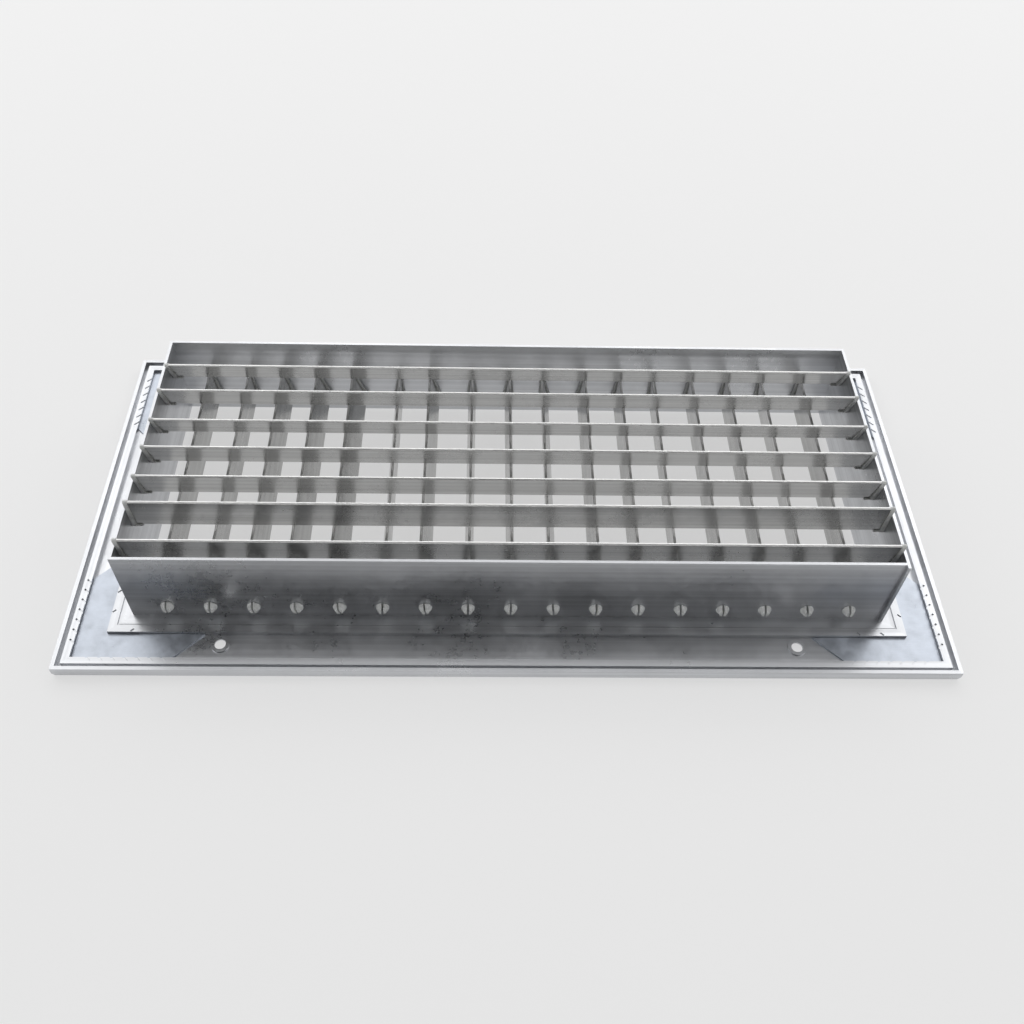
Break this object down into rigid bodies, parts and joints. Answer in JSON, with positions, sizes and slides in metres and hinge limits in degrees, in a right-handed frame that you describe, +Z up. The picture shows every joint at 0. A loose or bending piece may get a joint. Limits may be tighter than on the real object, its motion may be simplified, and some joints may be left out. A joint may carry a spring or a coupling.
{
  "type": "double deflection supply grille",
  "caption": "Double deflection supply grille: a mitred, flanged frame with a front and a rear row of aerofoil blades that each turn on plastic end caps.",
  "frame": {"origin": "centre of the face, in the plane that the grille lies on, face down", "axes": "+X along the long side to the right, +Y along the short side away from the near edge, +Z up the neck, from the face into the duct"},
  "size_m": [0.398, 0.196, 0.0508],
  "materials": {
    "frame": "satin, as extruded",
    "plate": "dull, rolled sheet",
    "blade": "satin, as extruded",
    "cap": "milky nylon"
  },
  "bodies": {
    "frame": {"frame_side_near": "frame", "frame_side_far": "frame", "frame_side_left": "frame", "frame_side_right": "frame", "corner_plate_near_left": "plate", "corner_plate_near_right": "plate", "corner_plate_far_left": "plate", "corner_plate_far_right": "plate"},
    "front_01": {"front_blade_01": "blade", "front_caps_01": "cap"},
    "front_02": {"front_blade_02": "blade", "front_caps_02": "cap"},
    "front_03": {"front_blade_03": "blade", "front_caps_03": "cap"},
    "front_04": {"front_blade_04": "blade", "front_caps_04": "cap"},
    "front_05": {"front_blade_05": "blade", "front_caps_05": "cap"},
    "front_06": {"front_blade_06": "blade", "front_caps_06": "cap"},
    "front_07": {"front_blade_07": "blade", "front_caps_07": "cap"},
    "front_08": {"front_blade_08": "blade", "front_caps_08": "cap"},
    "front_09": {"front_blade_09": "blade", "front_caps_09": "cap"},
    "front_10": {"front_blade_10": "blade", "front_caps_10": "cap"},
    "front_11": {"front_blade_11": "blade", "front_caps_11": "cap"},
    "front_12": {"front_blade_12": "blade", "front_caps_12": "cap"},
    "front_13": {"front_blade_13": "blade", "front_caps_13": "cap"},
    "front_14": {"front_blade_14": "blade", "front_caps_14": "cap"},
    "front_15": {"front_blade_15": "blade", "front_caps_15": "cap"},
    "front_16": {"front_blade_16": "blade", "front_caps_16": "cap"},
    "front_17": {"front_blade_17": "blade", "front_caps_17": "cap"},
    "rear_1": {"rear_blade_1": "blade", "rear_caps_1": "cap"},
    "rear_2": {"rear_blade_2": "blade", "rear_caps_2": "cap"},
    "rear_3": {"rear_blade_3": "blade", "rear_caps_3": "cap"},
    "rear_4": {"rear_blade_4": "blade", "rear_caps_4": "cap"},
    "rear_5": {"rear_blade_5": "blade", "rear_caps_5": "cap"},
    "rear_6": {"rear_blade_6": "blade", "rear_caps_6": "cap"},
    "rear_7": {"rear_blade_7": "blade", "rear_caps_7": "cap"}
  },
  "joints": [
    {"name": "front_tilt_01", "type": "hinge", "parent": "frame", "child": "front_01", "pos_m": [-0.1524, 0, 0.012], "axis": [0, 1, 0], "range_deg": [-42.6, 47.4]},
    {"name": "front_tilt_02", "type": "hinge", "parent": "frame", "child": "front_02", "pos_m": [-0.13335, 0, 0.012], "axis": [0, 1, 0], "range_deg": [-45.8, 44.2]},
    {"name": "front_tilt_03", "type": "hinge", "parent": "frame", "child": "front_03", "pos_m": [-0.1143, 0, 0.012], "axis": [0, 1, 0], "range_deg": [-37.6, 52.4]},
    {"name": "front_tilt_04", "type": "hinge", "parent": "frame", "child": "front_04", "pos_m": [-0.09525, 0, 0.012], "axis": [0, 1, 0], "range_deg": [-32.7, 57.3]},
    {"name": "front_tilt_05", "type": "hinge", "parent": "frame", "child": "front_05", "pos_m": [-0.0762, 0, 0.012], "axis": [0, 1, 0], "range_deg": [-29.4, 60.6]},
    {"name": "front_tilt_06", "type": "hinge", "parent": "frame", "child": "front_06", "pos_m": [-0.05715, 0, 0.012], "axis": [0, 1, 0], "range_deg": [-49.4, 40.6]},
    {"name": "front_tilt_07", "type": "hinge", "parent": "frame", "child": "front_07", "pos_m": [-0.0381, 0, 0.012], "axis": [0, 1, 0], "range_deg": [-35.6, 54.4]},
    {"name": "front_tilt_08", "type": "hinge", "parent": "frame", "child": "front_08", "pos_m": [-0.01905, 0, 0.012], "axis": [0, 1, 0], "range_deg": [-46.1, 43.9]},
    {"name": "front_tilt_09", "type": "hinge", "parent": "frame", "child": "front_09", "pos_m": [0, 0, 0.012], "axis": [0, 1, 0], "range_deg": [-46.5, 43.5]},
    {"name": "front_tilt_10", "type": "hinge", "parent": "frame", "child": "front_10", "pos_m": [0.01905, 0, 0.012], "axis": [0, 1, 0], "range_deg": [-37.4, 52.6]},
    {"name": "front_tilt_11", "type": "hinge", "parent": "frame", "child": "front_11", "pos_m": [0.0381, 0, 0.012], "axis": [0, 1, 0], "range_deg": [-49.5, 40.5]},
    {"name": "front_tilt_12", "type": "hinge", "parent": "frame", "child": "front_12", "pos_m": [0.05715, 0, 0.012], "axis": [0, 1, 0], "range_deg": [-46.1, 43.9]},
    {"name": "front_tilt_13", "type": "hinge", "parent": "frame", "child": "front_13", "pos_m": [0.0762, 0, 0.012], "axis": [0, 1, 0], "range_deg": [-37.8, 52.2]},
    {"name": "front_tilt_14", "type": "hinge", "parent": "frame", "child": "front_14", "pos_m": [0.09525, 0, 0.012], "axis": [0, 1, 0], "range_deg": [-42, 48]},
    {"name": "front_tilt_15", "type": "hinge", "parent": "frame", "child": "front_15", "pos_m": [0.1143, 0, 0.012], "axis": [0, 1, 0], "range_deg": [-40.3, 49.7]},
    {"name": "front_tilt_16", "type": "hinge", "parent": "frame", "child": "front_16", "pos_m": [0.13335, 0, 0.012], "axis": [0, 1, 0], "range_deg": [-34.9, 55.1]},
    {"name": "front_tilt_17", "type": "hinge", "parent": "frame", "child": "front_17", "pos_m": [0.1524, 0, 0.012], "axis": [0, 1, 0], "range_deg": [-41.3, 48.7]},
    {"name": "rear_tilt_1", "type": "hinge", "parent": "frame", "child": "rear_1", "pos_m": [0, 0.05715, 0.0347], "axis": [-1, 0, 0], "range_deg": [-2, 66]},
    {"name": "rear_tilt_2", "type": "hinge", "parent": "frame", "child": "rear_2", "pos_m": [0, 0.0381, 0.0347], "axis": [-1, 0, 0], "range_deg": [-6.5, 61.5]},
    {"name": "rear_tilt_3", "type": "hinge", "parent": "frame", "child": "rear_3", "pos_m": [0, 0.01905, 0.0347], "axis": [-1, 0, 0], "range_deg": [-5, 63]},
    {"name": "rear_tilt_4", "type": "hinge", "parent": "frame", "child": "rear_4", "pos_m": [0, 0, 0.0347], "axis": [-1, 0, 0], "range_deg": [-10, 58]},
    {"name": "rear_tilt_5", "type": "hinge", "parent": "frame", "child": "rear_5", "pos_m": [0, -0.01905, 0.0347], "axis": [-1, 0, 0], "range_deg": [-14, 54]},
    {"name": "rear_tilt_6", "type": "hinge", "parent": "frame", "child": "rear_6", "pos_m": [0, -0.0381, 0.0347], "axis": [-1, 0, 0], "range_deg": [-26, 42]},
    {"name": "rear_tilt_7", "type": "hinge", "parent": "frame", "child": "rear_7", "pos_m": [0, -0.05715, 0.0347], "axis": [-1, 0, 0], "range_deg": [-20, 48]}
  ]
}
